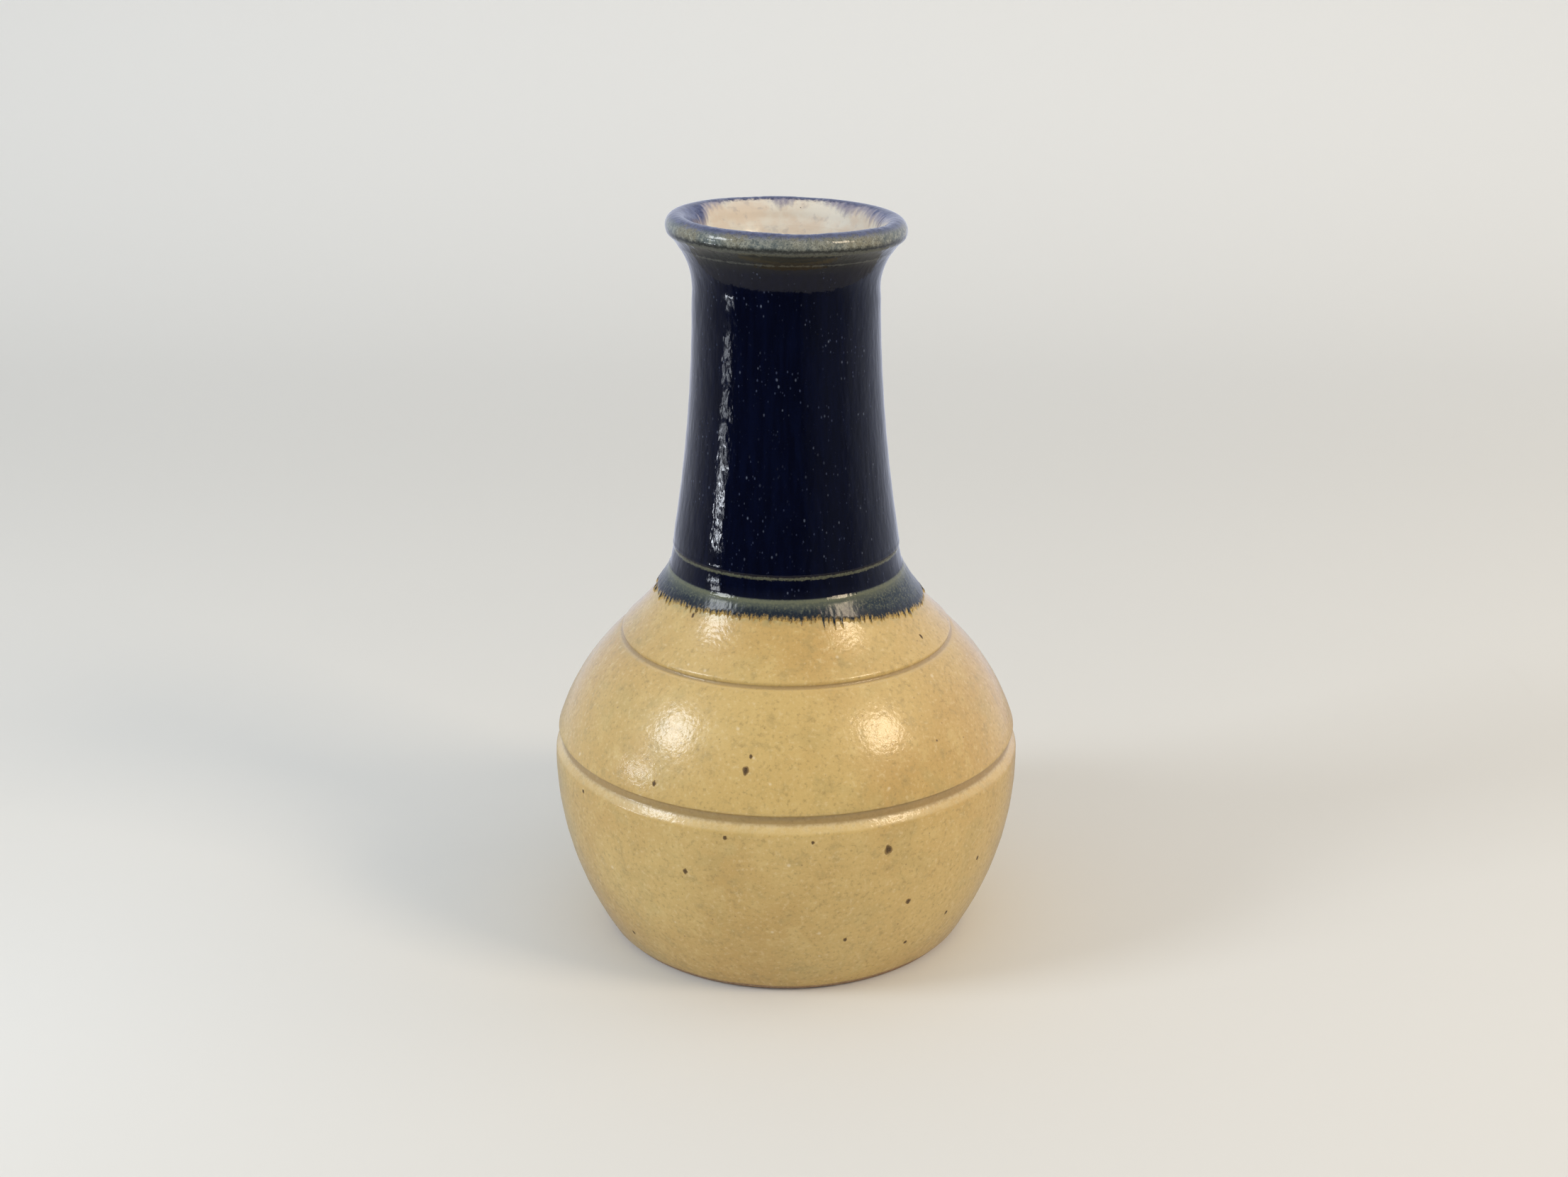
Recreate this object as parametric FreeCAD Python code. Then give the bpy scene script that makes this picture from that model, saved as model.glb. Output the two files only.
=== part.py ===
import FreeCAD, Part
import math
import os

from FreeCAD import Vector

# A wheel-thrown stoneware bud vase, in millimetres. The origin is the centre of the base,
# the part stands on the XY plane and +Z is up. Every layer is a half section in the XZ plane,
# drawn as (radius, height) points, turned once round the Z axis.

# Driving dimensions of the fired clay.
foot_radius = 38.4
foot_bevel = 0.4
belly_radius = 49.85
belly_height = 37.0
groove_low_radius = 49.15
groove_low_height = 45.2
groove_high_radius = 34.95
groove_high_height = 67.1
collar_radius = 24.2
collar_height = 80.8
ledge_radius = 23.25
ledge_height = 85.1
neck_foot_radius = 23.2
neck_foot_height = 87.2
neck_waist_radius = 18.65
neck_waist_height = 138.0
lip_radius = 23.85
lip_height = 152.8
crest_radius = 21.75
crest_height = 154.35
belly_top_inset = 0.4
belly_top_drop = 0.35
crease_inset = 0.45
crease_rise = 0.5
under_lip_inset = 0.25
under_lip_drop = 1.2

# Where the outside passes between those, as (radius, height).
foot_swell = (46.1, 15.6)
belly_crown = (49.75, 41.2)
belly_shoulder = (44.05, 56.0)
collar_sweep = (29.5, 72.8)
ledge_curve = (23.65, 83.0)
neck_start = (23.15, 86.2)
neck_curve = (20.03, 111.5)
lip_flare = (19.75, 146.0)

# Inside of the pot.
throat_radius = 18.9
throat_height = 151.3
bore_radius = 14.3
cavity_radius = 44.85
cavity_height = 40.0
floor_radius = 27.5
floor_height = 6.8
bore_foot_radius = 18.7
shoulder = (25.2, 70.4)
cavity_foot = (34.0, 9.8)

# Where the inside passes between those, as (radius, height).
lip_inside = (19.95, 153.3)
throat_curve = (15.9, 145.6)
bore_curve = (15.7, 112.0)
shoulder_curve = (20.3, 78.6)
cavity_crown = (38.3, 57.0)
cavity_wall = (42.3, 20.5)
floor_curve = (31.2, 7.6)

# Turned recess under the foot.
recess_radius = 31.0
recess_depth = 0.8
recess_slope = 0.6

# Tooled rings: the width and depth of the cut, the fall of the wall there in degrees, and the
# shares of the width where the upper wall and the floor end.
ring_low_width = 4.6
ring_low_depth = 1.0
ring_low_fall = 84.0
ring_high_width = 2.4
ring_high_depth = 0.85
ring_high_fall = 47.0
ring_wall_share = 0.1
ring_floor_share = 0.5
ring_clearance = 0.3

# Glaze.
base_coat = 0.30
cobalt_coat = 0.35
base_glaze_line = 0.8
cobalt_line_outside = 76.6
cobalt_line_inside = 151.8

# Iron specks melted through the straw glaze: angle from +X in degrees, height, radius.
specks = [
    (294, 36, 0.8),
    (260, 53, 0.65),
    (261, 55.5, 0.35),
    (301, 22, 0.55),
    (246, 31, 0.5),
    (325, 25, 0.5),
    (222, 8, 0.45),
    (237, 48, 0.45),
    (317, 14, 0.45),
    (285, 15, 0.4),
    (256, 40, 0.4),
    (213, 40, 0.4),
    (276, 39.5, 0.35),
    (304, 10, 0.4),
    (226, 76, 0.4),
    (330, 70, 0.4),
]
rear_specks = 9
rear_speck_radius = 0.5
rear_speck_low = 5.5
rear_speck_rise = 6.8
rear_arc_start = 8.0
rear_arc = 164.0
golden_angle = 137.5
plug_reach = 1.5

# The middle of the wall, from the floor up to the throat. It parts the outer glaze from the
# liner.
mid_wall = [(0, 3.5), (36, 3.5), (46, 22), (47, 42), (41.8, 56), (33, 66), (26.5, 73), (22.3, 80),
            (20.8, 87), (16.6, 138), (18, 147), (crest_radius, 152.5)]

far = 200.0


def point(radius, height):
    return Vector(radius, 0, height)


def arc(start, middle, end):
    return Part.Arc(point(*start), point(*middle), point(*end)).toShape()


def line(start, end):
    return Part.LineSegment(point(*start), point(*end)).toShape()


def polygon(corners):
    ends = corners[1:] + corners[:1]
    edges = [line(start, end) for start, end in zip(corners, ends)]
    return Part.Face(Part.Wire(edges))


def outer_wall():
    """The outside of the clay, from the foot up to the crest of the lip."""
    foot = (foot_radius + foot_bevel, foot_bevel)
    belly = (belly_radius, belly_height)
    groove_low = (groove_low_radius, groove_low_height)
    groove_high = (groove_high_radius, groove_high_height)
    belly_top = (groove_high_radius - belly_top_inset, groove_high_height - belly_top_drop)
    collar = (collar_radius, collar_height)
    ledge = (ledge_radius, ledge_height)
    crease = (ledge_radius - crease_inset, ledge_height + crease_rise)
    neck_foot = (neck_foot_radius, neck_foot_height)
    neck_waist = (neck_waist_radius, neck_waist_height)
    under_lip = (lip_radius - under_lip_inset, lip_height - under_lip_drop)
    return [
        line((foot_radius, 0), foot),
        arc(foot, foot_swell, belly),
        arc(belly, belly_crown, groove_low),
        arc(groove_low, belly_shoulder, belly_top),
        line(belly_top, groove_high),
        arc(groove_high, collar_sweep, collar),
        arc(collar, ledge_curve, ledge),
        line(ledge, crease),
        arc(crease, neck_start, neck_foot),
        arc(neck_foot, neck_curve, neck_waist),
        arc(neck_waist, lip_flare, under_lip),
        arc(under_lip, (lip_radius, lip_height), (crest_radius, crest_height)),
    ]


def inner_wall():
    """The inside of the clay, from the crest of the lip down to the middle of the floor."""
    crest = (crest_radius, crest_height)
    throat = (throat_radius, throat_height)
    bore_top = (bore_radius, neck_waist_height)
    bore_foot = (bore_foot_radius, neck_foot_height)
    cavity = (cavity_radius, cavity_height)
    floor_edge = (floor_radius, floor_height)
    return [
        arc(crest, lip_inside, throat),
        arc(throat, throat_curve, bore_top),
        arc(bore_top, bore_curve, bore_foot),
        arc(bore_foot, shoulder_curve, shoulder),
        arc(shoulder, cavity_crown, cavity),
        arc(cavity, cavity_wall, cavity_foot),
        arc(cavity_foot, floor_curve, floor_edge),
        line(floor_edge, (0, floor_height)),
    ]


def underside():
    """The foot, turned flat with a shallow recess, closed along the axis."""
    recess_edge = (recess_radius - recess_slope, recess_depth)
    return [
        line((0, floor_height), (0, recess_depth)),
        line((0, recess_depth), recess_edge),
        line(recess_edge, (recess_radius, 0)),
        line((recess_radius, 0), (foot_radius, 0)),
    ]


def ring_cutter(radius, height, fall, width, depth):
    """A tooled ring: a short steep upper wall, a floor and a lower wall that runs out."""
    down = Vector(math.cos(math.radians(fall)), 0, -math.sin(math.radians(fall)))
    out = Vector(-down.z, 0, down.x)
    start = point(radius, height)
    upper = start + out * ring_clearance
    root = start + down * (width * ring_wall_share) - out * depth
    heel = start + down * (width * ring_floor_share) - out * depth
    lower = start + down * width + out * ring_clearance
    return Part.Face(Part.makePolygon([upper, root, heel, lower, upper]))


def clay_section():
    section = Part.Face(Part.Wire(Part.__sortEdges__(outer_wall() + inner_wall() + underside())))
    low = ring_cutter(groove_low_radius, groove_low_height, ring_low_fall,
                      ring_low_width, ring_low_depth)
    high = ring_cutter(groove_high_radius, groove_high_height, ring_high_fall,
                       ring_high_width, ring_high_depth)
    return section.cut(low).cut(high).Faces[0]


def above(height):
    """Everything above a height."""
    return polygon([(0, height), (far, height), (far, far), (0, far)])


def turn(section):
    """Turns a section right round the Z axis. Its arcs become splines first, because an arc
    with its centre beyond the axis would turn into a torus that crosses itself. Its straight
    lines stay lines, so the foot is a true plane."""
    edges = []
    for edge in section.Faces[0].OuterWire.OrderedEdges:
        straight = isinstance(edge.Curve, Part.Line)
        edges.append(edge if straight else edge.toNurbs().Edges[0])
    face = Part.Face(Part.Wire(edges))
    return face.revolve(Vector(0, 0, 0), Vector(0, 0, 1), 360)


def layer_sections():
    clay = clay_section()
    based = clay.makeOffset2D(base_coat)
    dipped = clay.makeOffset2D(base_coat + cobalt_coat)
    inside = polygon(mid_wall + [(crest_radius, far), (0, far)])
    base = based.cut(clay).common(above(base_glaze_line))
    straw = base.cut(inside)
    liner = base.common(inside)
    cobalt = dipped.cut(based).common(above(cobalt_line_outside))
    cobalt = cobalt.cut(inside.cut(above(cobalt_line_inside)))
    return clay, straw, liner, cobalt


def speck_places():
    """The chosen specks, then more spread over the far side by the golden angle."""
    places = list(specks)
    for index in range(rear_specks):
        angle = rear_arc_start + (index * golden_angle) % rear_arc
        height = rear_speck_low + index * rear_speck_rise
        places.append((angle, height, rear_speck_radius))
    return places


def surface_radius(section, height):
    """The outside radius of a section at a height."""
    ray = line((0, height), (far, height))
    return max(vertex.X for vertex in ray.common(section).Vertexes)


def speck_plugs(straw):
    """Short round plugs, pointing straight out of the wall, that pass through the straw coat."""
    plugs = []
    for angle, height, radius in speck_places():
        turned = math.radians(angle)
        outward = Vector(math.cos(turned), math.sin(turned), 0)
        middle = outward * surface_radius(straw, height) + Vector(0, 0, height)
        start = middle - outward * plug_reach
        plugs.append(Part.makeCylinder(radius, 2 * plug_reach, start, outward))
    return plugs


def build():
    clay, straw, liner, cobalt = layer_sections()
    straw_coat = turn(straw)
    plugs = speck_plugs(straw)
    iron = Part.makeCompound([plug.common(straw_coat).Solids[0] for plug in plugs])
    straw_coat = straw_coat.cut(plugs).Solids[0]
    return {
        "stoneware_body": turn(clay),
        "straw_glaze_coat": straw_coat,
        "liner_glaze_coat": turn(liner),
        "cobalt_glaze_coat": turn(cobalt),
        "iron_specks": iron,
    }


os.makedirs("parts", exist_ok=True)
for name, shape in build().items():
    bounds = shape.optimalBoundingBox()
    print(name, len(shape.Solids), "solids, valid", shape.isValid(), "volume", round(shape.Volume, 1))
    print("  radius", round(bounds.XMax, 2), "height", round(bounds.ZMin, 2), round(bounds.ZMax, 2))
    shape.exportStep("parts/" + name + ".step")
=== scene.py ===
import math

import bmesh
import bpy
import numpy as np
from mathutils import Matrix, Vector


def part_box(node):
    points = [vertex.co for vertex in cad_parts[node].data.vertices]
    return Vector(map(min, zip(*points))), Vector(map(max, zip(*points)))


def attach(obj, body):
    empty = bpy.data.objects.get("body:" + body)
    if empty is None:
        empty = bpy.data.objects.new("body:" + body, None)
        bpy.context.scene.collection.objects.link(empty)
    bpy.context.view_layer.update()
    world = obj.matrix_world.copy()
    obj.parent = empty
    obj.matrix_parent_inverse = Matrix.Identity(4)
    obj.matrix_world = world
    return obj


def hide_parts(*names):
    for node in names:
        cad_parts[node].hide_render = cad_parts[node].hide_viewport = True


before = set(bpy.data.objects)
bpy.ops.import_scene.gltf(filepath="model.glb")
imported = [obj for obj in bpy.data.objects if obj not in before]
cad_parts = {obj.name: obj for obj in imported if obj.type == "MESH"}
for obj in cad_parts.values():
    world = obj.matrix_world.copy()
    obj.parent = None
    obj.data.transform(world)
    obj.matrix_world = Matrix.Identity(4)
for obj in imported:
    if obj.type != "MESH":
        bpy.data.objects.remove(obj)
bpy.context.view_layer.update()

# A wheel-thrown stoneware bud vase: bare clay, a straw glaze, a cream liner and a cobalt glaze
# dipped over the neck. Every layer follows the half section of its own solid in the frame and
# is turned round the Z axis. Lengths are in metres, and MM makes millimetres readable. The
# camera stands on the -Y side.

MM = 0.001
TURN = 2 * math.pi

rng = np.random.default_rng(20)

# The grid on which the frame's points are matched, the spacing of points along a dense curve,
# and the angle above which a mesh edge is drawn sharp.
GRID = 1e-6
STEP = 0.1 * MM
SHARP_EDGE = math.radians(50)

# How the soft clay left the wheel: a rim that tilts down to +X and a little to -Y, an oval
# wall, a faint spiral of throwing rings and broad swellings.
LIP_RADIUS = 24.4 * MM
RIM_TILT = math.radians(1.4)
RIM_PITCH = math.radians(0.2)
RIM_TILT_FROM = 138 * MM
RIM_TILT_FULL = 152 * MM
OVAL = 0.05 * MM
RING_PITCH = 6.5 * MM
RING_HEIGHT = 0.02 * MM
SWELL_HEIGHT = 0.03 * MM

# How many points a turn has, with four for each tooth of the cobalt's fringe.
BARE_SEGMENTS = 192
STRAW_SEGMENTS = 384
TOOTH_COUNT = 150
COBALT_SEGMENTS = 4 * TOOTH_COUNT

# The longest gap between two rings of points, and where a coat needs closer ones: from and to a
# height, and the gap there.
CLAY_GAP = 3 * MM
LINER_GAP = 2 * MM
STRAW_GAP = 2.2 * MM
STRAW_DETAIL = [(0, 3 * MM, 0.2 * MM), (70 * MM, 79 * MM, 0.7 * MM)]
COBALT_GAP = 2.4 * MM
COBALT_DETAIL = [(70 * MM, 81 * MM, 0.3 * MM), (147 * MM, 160 * MM, 0.5 * MM)]
MOUTH_GAP = 0.7 * MM

# Melted glaze: how far it rounds an edge, over what reach it pools and how deep a full pool
# is, how far the hidden side of a coat lies below the surface, and how many steps of a dense
# curve a ledge is compared with on each side.
SOFTENING = 0.3 * MM
POOL_REACH = 1.1 * MM
POOL_DEPTH = 0.25 * MM
TUCKED = 0.2 * MM
LEDGE_REACH = 35

# Where the straw glaze ends above the foot.
GLAZE_LINE = 0.8 * MM

# The cobalt coat's fringe: the lower end of the coat's mesh, the height of the even line at the
# front and the back, how far it leans down to +X, and how far it sags at both sides.
FRINGE_BOTTOM = 70.6 * MM
FRINGE_HEIGHT = 77.3 * MM
FRINGE_LEAN = 1.2 * MM
FRINGE_SAG = 2.6 * MM

# Its edge inside the mouth, and where the blue runs deeper there: bearing and width in degrees,
# and reach.
MOUTH_REACH = 12 * MM
DEEP_RUNS = [(174, 30, 7.5 * MM), (92, 9, 2.2 * MM), (52, 15, 3.2 * MM), (14, 22, 4.2 * MM),
             (245, 20, 3.0 * MM), (305, 14, 4.0 * MM)]

# Rings where the cobalt coat stands thicker or thinner, in millimetres: height, half width and
# rise. They are the two edges under the lip, the collar with a dip above it, and the ledge at
# the foot of the neck.
RELIEF = [(151.4, 0.4, 0.10), (148.8, 0.4, 0.07), (80.5, 0.4, 0.12), (81.2, 0.3, -0.12),
          (85.9, 0.55, 0.3)]

# Thin rings where the blue breaks over an edge, in millimetres: height, half width and strength.
NECK_LINE = (85.1, 0.40, 0.75)
COLLAR_LINE = (80.5, 0.46, 0.75)
PALE_RING = (148.8, 0.3, 0.7)
RIDGE = (151.4, 0.5, 0.8)

# Heights between which the cobalt coat's look changes, in millimetres.
SKIRT_TOP = (81.15, 80.75)
SKIRT_PALING = (78.4, 80.4)
SKIRT_DULLING = (80.6, 79.9)
FLARE_DARKENING = (146.0, 148.6)
FLARE_GREYING = (148.5, 150.5)
LIP_FACE_FOOT = (152.4, 153.2)

# Colours, as linear red, green and blue.
CLAY_DARK = (0.27, 0.15, 0.075)
CLAY_LIGHT = (0.40, 0.25, 0.14)
CLAY_GRAIN = (0.48, 0.33, 0.21)
CLAY_FLECK = (0.08, 0.05, 0.04)
OCHRE = (0.575, 0.372, 0.116)
OCHRE_LIGHT = (0.640, 0.450, 0.158)
CLOUD_LIGHT = (0.69, 0.51, 0.20)
CLOUD_DARK = (0.44, 0.315, 0.11)
OLIVE_PATCH = (0.46, 0.36, 0.13)
GRAIN_DARK = (0.38, 0.26, 0.085)
GRAIN_LIGHT = (0.74, 0.58, 0.30)
SPOT_BROWN = (0.22, 0.13, 0.045)
SPOT_DARK = (0.10, 0.055, 0.025)
SPOT_PALE = (0.80, 0.66, 0.42)
POOL_BROWN = (0.27, 0.175, 0.075)
# Painted light: the pale colour given to the upper faces of the tooled rings.
LEDGE_PAINTED_LIGHT = (0.84, 0.68, 0.38)
HALO_OLIVE = (0.36, 0.32, 0.14)
FOOT_BROWN = (0.17, 0.09, 0.035)
CREAM_WARM = (0.69, 0.60, 0.50)
CREAM_PALE = (0.74, 0.71, 0.635)
CREAM_GREY = (0.40, 0.37, 0.37)
CREAM_FLECK = (0.10, 0.07, 0.055)
NAVY_DARK = (0.0009, 0.0016, 0.0085)
NAVY_LIGHT = (0.0016, 0.0030, 0.0150)
NAVY_DUST = (0.07, 0.09, 0.16)
NAVY_FLECK = (0.13, 0.155, 0.22)
SKIRT_TEAL = (0.020, 0.032, 0.044)
SKIRT_OLIVE = (0.15, 0.16, 0.11)
SKIRT_PALE = (0.16, 0.175, 0.12)
SKIRT_SLATE = (0.012, 0.018, 0.030)
COLLAR_OLIVE = (0.15, 0.16, 0.105)
NECK_OLIVE = (0.15, 0.155, 0.10)
FLARE_DARK = (0.009, 0.010, 0.013)
FLARE_GREY = (0.030, 0.032, 0.030)
RING_GREY = (0.085, 0.09, 0.08)
RIDGE_OLIVE = (0.12, 0.125, 0.105)
FACE_GREEN = (0.14, 0.165, 0.165)
FACE_OLIVE = (0.23, 0.22, 0.165)
FACE_PALE = (0.36, 0.37, 0.32)
FACE_DARK = (0.04, 0.055, 0.07)
CREST_DARK = (0.014, 0.024, 0.11)
CREST_LIGHT = (0.06, 0.08, 0.20)
LAVENDER = (0.33, 0.31, 0.37)
CREST_FLECK = (0.004, 0.004, 0.006)
IRON_DARK = (0.07, 0.042, 0.02)
IRON_LIGHT = (0.15, 0.095, 0.042)
IRON_RIM = (0.36, 0.235, 0.09)
PAPER_FLOOR = (0.76, 0.765, 0.76)
PAPER_WALL = (0.96, 0.97, 0.975)
PAPER_IN_GLOSS = (0.46, 0.46, 0.47)

# Iron specks: the rings of points over one, the points in a ring, how much wider than its solid
# it has melted, and how uneven its edge is.
SPECK_RINGS = 7
SPECK_POINTS = 28
SPECK_SPREAD = 1.12
SPECK_UNEVENNESS = 0.16

# A bright window low down on the left, broken up by its frame: bearing in degrees, height,
# width, tallness and power.
WINDOW_PANES = [(-71.5, 0.0905, 0.030, 0.0055, 0.0034), (-74, 0.085, 0.010, 0.004, 0.0003),
                (-75, 0.0812, 0.018, 0.0045, 0.0021), (-75, 0.0768, 0.013, 0.0036, 0.0058),
                (-69.5, 0.0768, 0.013, 0.0036, 0.0058)]
PANE_DISTANCE = 0.22
COOL = (0.93, 0.97, 1.0)
WARM = (1.0, 0.81, 0.58)
PANE_COLOR = (0.86, 0.92, 1.0)

# Light from all round, the backdrop's own brightness, and the tints of both and of what gloss
# reflects.
AMBIENT = 0.585
BACKDROP = 0.82
ROOM_TINT = (0.985, 1.0, 0.995, 1)
GLOSS_TINT = (0.90, 0.95, 1.13, 1)

# The camera: place, angle down, and lens and sensor width in millimetres.
CAMERA_PLACE = (-0.00046, -0.41320, 0.22287)
CAMERA_DIP = 19.722
CAMERA_LENS = 47.2
CAMERA_SENSOR = 36


# ---------------------------------------------------------------- sections of the frame


def section(node):
    """The node's half section, as (radius, height) points in order along its outline and up the
    outside. An open outline starts at its lower end, a closed one at its lowest, outermost
    point."""
    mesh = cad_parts[node].data
    spot = {}
    for vertex in mesh.vertices:
        if abs(vertex.co.y) < GRID and vertex.co.x > -GRID:
            spot[vertex.index] = (round(vertex.co.x / GRID), round(vertex.co.z / GRID))
    beside = {}
    for edge in mesh.edges:
        a, b = (spot.get(index) for index in edge.vertices)
        if a and b and a != b:
            beside.setdefault(a, set()).add(b)
            beside.setdefault(b, set()).add(a)
    ends = [key for key, near in beside.items() if len(near) == 1]
    start = min(ends or beside, key=lambda key: (key[1], -key[0]))
    path = [start]
    following = max(beside[start], key=lambda key: key[1])
    while following is not None:
        path.append(following)
        onward = beside[following] - set(path[-2:])
        following = next(iter(onward - {start}), None)
    return np.array(path) * GRID


def smooth_curve(points, corner=math.radians(25)):
    """A dense curve through the points that stays sharp only where they turn sharply."""
    gap = np.diff(points, axis=0)
    length = np.hypot(*gap.T)
    direction = gap / length[:, None]
    turn = np.arccos(np.clip((direction[1:] * direction[:-1]).sum(1), -1, 1))
    before = np.vstack([direction[:1], direction])
    after = np.vstack([direction, direction[-1:]])
    weight_before = np.r_[1.0, 1 / length[:-1], 1.0][:, None]
    weight_after = np.r_[1.0, 1 / length[1:], 1.0][:, None]
    middle = (before * weight_before + after * weight_after) / (weight_before + weight_after)
    sharp = np.r_[False, turn > corner, False][:, None]
    leaving = np.where(sharp, after, middle)
    arriving = np.where(sharp, before, middle)
    dense = []
    for i, size in enumerate(length):
        t = np.arange(0, 1, min(STEP / size, 1.0))[:, None]
        start = (2 * t**3 - 3 * t**2 + 1) * points[i] + (t**3 - 2 * t**2 + t) * size * leaving[i]
        end = (3 * t**2 - 2 * t**3) * points[i + 1] + (t**3 - t**2) * size * arriving[i + 1]
        dense.append(start + end)
    return resample(np.vstack(dense + [points[-1:]]))


def lengths_along(curve):
    return np.r_[0, np.cumsum(np.hypot(*np.diff(curve, axis=0).T))]


def resample(curve):
    along = lengths_along(curve)
    places = np.linspace(0, along[-1], max(int(along[-1] / STEP), 2))
    return np.stack([np.interp(places, along, curve[:, i]) for i in (0, 1)], 1)


def soften(curve, width):
    """Rounds a dense curve, as melted glaze rounds the clay. Its two ends stay in place."""
    reach = int(4 * width / STEP)
    kernel = np.exp(-0.5 * (np.arange(-reach, reach + 1) * STEP / width) ** 2)
    kernel /= kernel.sum()
    head = 2 * curve[0] - curve[reach:0:-1]
    tail = 2 * curve[-1] - curve[-2:-reach - 2:-1]
    padded = np.vstack([head, curve, tail])
    return np.stack([np.convolve(padded[:, i], kernel, "valid") for i in (0, 1)], 1)


def normals_of(curve):
    """Unit normals to the right of the way along the curve."""
    along = np.gradient(curve, axis=0)
    along /= np.hypot(*along.T)[:, None]
    return np.stack([along[:, 1], -along[:, 0]], 1)


def pooling(curve):
    """How far glaze has pooled at each point: up to 1 in a groove, down to -1 on an edge."""
    wide = soften(curve, POOL_REACH)
    return np.clip(((wide - curve) * normals_of(curve)).sum(1) / POOL_DEPTH, -1, 1)


def ledges(curve):
    """Where a curve's outside faces up more than it does nearby, from 0 to 1. The straw
    material paints light there.
    """
    facing = normals_of(curve)[:, 1]
    window = 2 * LEDGE_REACH + 1
    nearby = np.convolve(np.pad(facing, LEDGE_REACH, "edge"), np.full(window, 1 / window), "valid")
    return np.clip((facing - nearby) * 4 - 0.8, 0, 1)


def ring_gaps(curve, plain, detail=()):
    """The longest gap to the next ring for each point of a curve."""
    height = curve[:, 1]
    gaps = np.full(len(curve), plain)
    for low, high, gap in detail:
        gaps[(height > low) & (height < high)] = gap
    return gaps


def stations(curve, longest, bend=math.radians(5), shortest=0.12 * MM):
    """Indices along a dense curve, close together where it bends and at most longest apart
    elsewhere. longest has a value for each point."""
    heading = np.unwrap(np.arctan2(*np.gradient(curve, axis=0).T))
    bent = np.r_[0, np.cumsum(np.abs(np.diff(heading)))]
    along = lengths_along(curve)
    chosen = [0]
    for i in range(1, len(curve)):
        gone = along[i] - along[chosen[-1]]
        if gone >= longest[i] or (gone >= shortest and bent[i] - bent[chosen[-1]] >= bend):
            chosen.append(i)
    if chosen[-1] != len(curve) - 1:
        chosen.append(len(curve) - 1)
    return np.array(chosen)


# ---------------------------------------------------------------- turned meshes


def ease(value, low, high):
    t = np.clip((value - low) / (high - low), 0, 1)
    return t * t * (3 - 2 * t)


def bell(value, middle, width):
    return np.exp(-((value - middle) / width) ** 2)


def angles_round(count):
    return np.arange(count) * TURN / count


def round_noise(angles, lowest, highest, roughness=0.5):
    """A smooth random function of the angle that closes on itself, between about -1 and 1."""
    waves = np.arange(lowest, highest + 1)
    sizes = (waves / lowest) ** -roughness * rng.normal(size=len(waves))
    phases = rng.uniform(0, TURN, len(waves))
    total = (sizes[:, None] * np.sin(waves[:, None] * angles + phases[:, None])).sum(0)
    return total / (np.abs(total).max() + 1e-9)


def thrown(points):
    """Moves points as the throwing did. All layers go through this, so they stay together. The
    wall only moves inwards, the foot stays as it is, and the rim tilts."""
    x, y, z = points.T
    radius = np.hypot(x, y)
    angle = np.arctan2(y, x)
    spiral = np.sin(TURN * z / RING_PITCH + angle) * RING_HEIGHT
    swell = np.sin(2 * angle + 60 * z + 0.8) * np.sin(70 * z + 3 * angle) * SWELL_HEIGHT
    furthest = OVAL + RING_HEIGHT + SWELL_HEIGHT
    push = OVAL * np.cos(2 * angle - 1.3) + spiral + swell - furthest
    push *= ease(radius, 5 * MM, 15 * MM) * ease(z, 0, 6 * MM)
    x = x + np.cos(angle) * push
    y = y + np.sin(angle) * push
    drop = (x + LIP_RADIUS) * math.tan(RIM_TILT) - (y + LIP_RADIUS) * math.tan(RIM_PITCH)
    z = z - drop * ease(z, RIM_TILT_FROM, RIM_TILT_FULL)
    return np.stack([x, y, z], 1)


def all_round(points, segments):
    return points[:, None, :].repeat(segments, 1)


def linked(name, data):
    thing = bpy.data.objects.new(name, data)
    bpy.context.scene.collection.objects.link(thing)
    return thing


def add_attribute(mesh, name, values):
    layer = mesh.attributes.new(name, "FLOAT", "POINT")
    layer.data.foreach_set("value", np.ascontiguousarray(values, np.float32).ravel())


def turned(name, outline, attributes, closed=True):
    """A mesh from rings of (radius, height). outline is rings x segments x 2, and an attribute
    has a value for each ring or for each point. A ring of zero radius becomes one point on the
    axis."""
    rings, segments = outline.shape[:2]
    angles = angles_round(segments)
    radius, height = outline[..., 0], outline[..., 1]
    points = np.stack([radius * np.cos(angles), radius * np.sin(angles), height], -1)
    points = thrown(points.reshape(-1, 3))
    index = np.arange(rings * segments).reshape(rings, segments)
    below = index if closed else index[:-1]
    above = np.roll(index, -1, 0) if closed else index[1:]
    quads = np.stack([below, np.roll(below, -1, 1), np.roll(above, -1, 1), above], -1)
    mesh = bpy.data.meshes.new(name)
    mesh.from_pydata(points, [], quads.reshape(-1, 4))
    for key, values in attributes.items():
        add_attribute(mesh, key, np.broadcast_to(values, (rings, segments)))
    piece = linked(name, mesh)
    weld_axis(mesh)
    mesh.shade_smooth()
    mesh.set_sharp_from_angle(angle=SHARP_EDGE)
    return piece


def weld_axis(mesh):
    """Joins the points of a ring that has shrunk onto the axis."""
    work = bmesh.new()
    work.from_mesh(mesh)
    on_axis = [v for v in work.verts if math.hypot(v.co.x, v.co.y) < GRID]
    bmesh.ops.remove_doubles(work, verts=on_axis, dist=GRID)
    bmesh.ops.recalc_face_normals(work, faces=work.faces)
    work.to_mesh(mesh)
    work.free()


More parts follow.
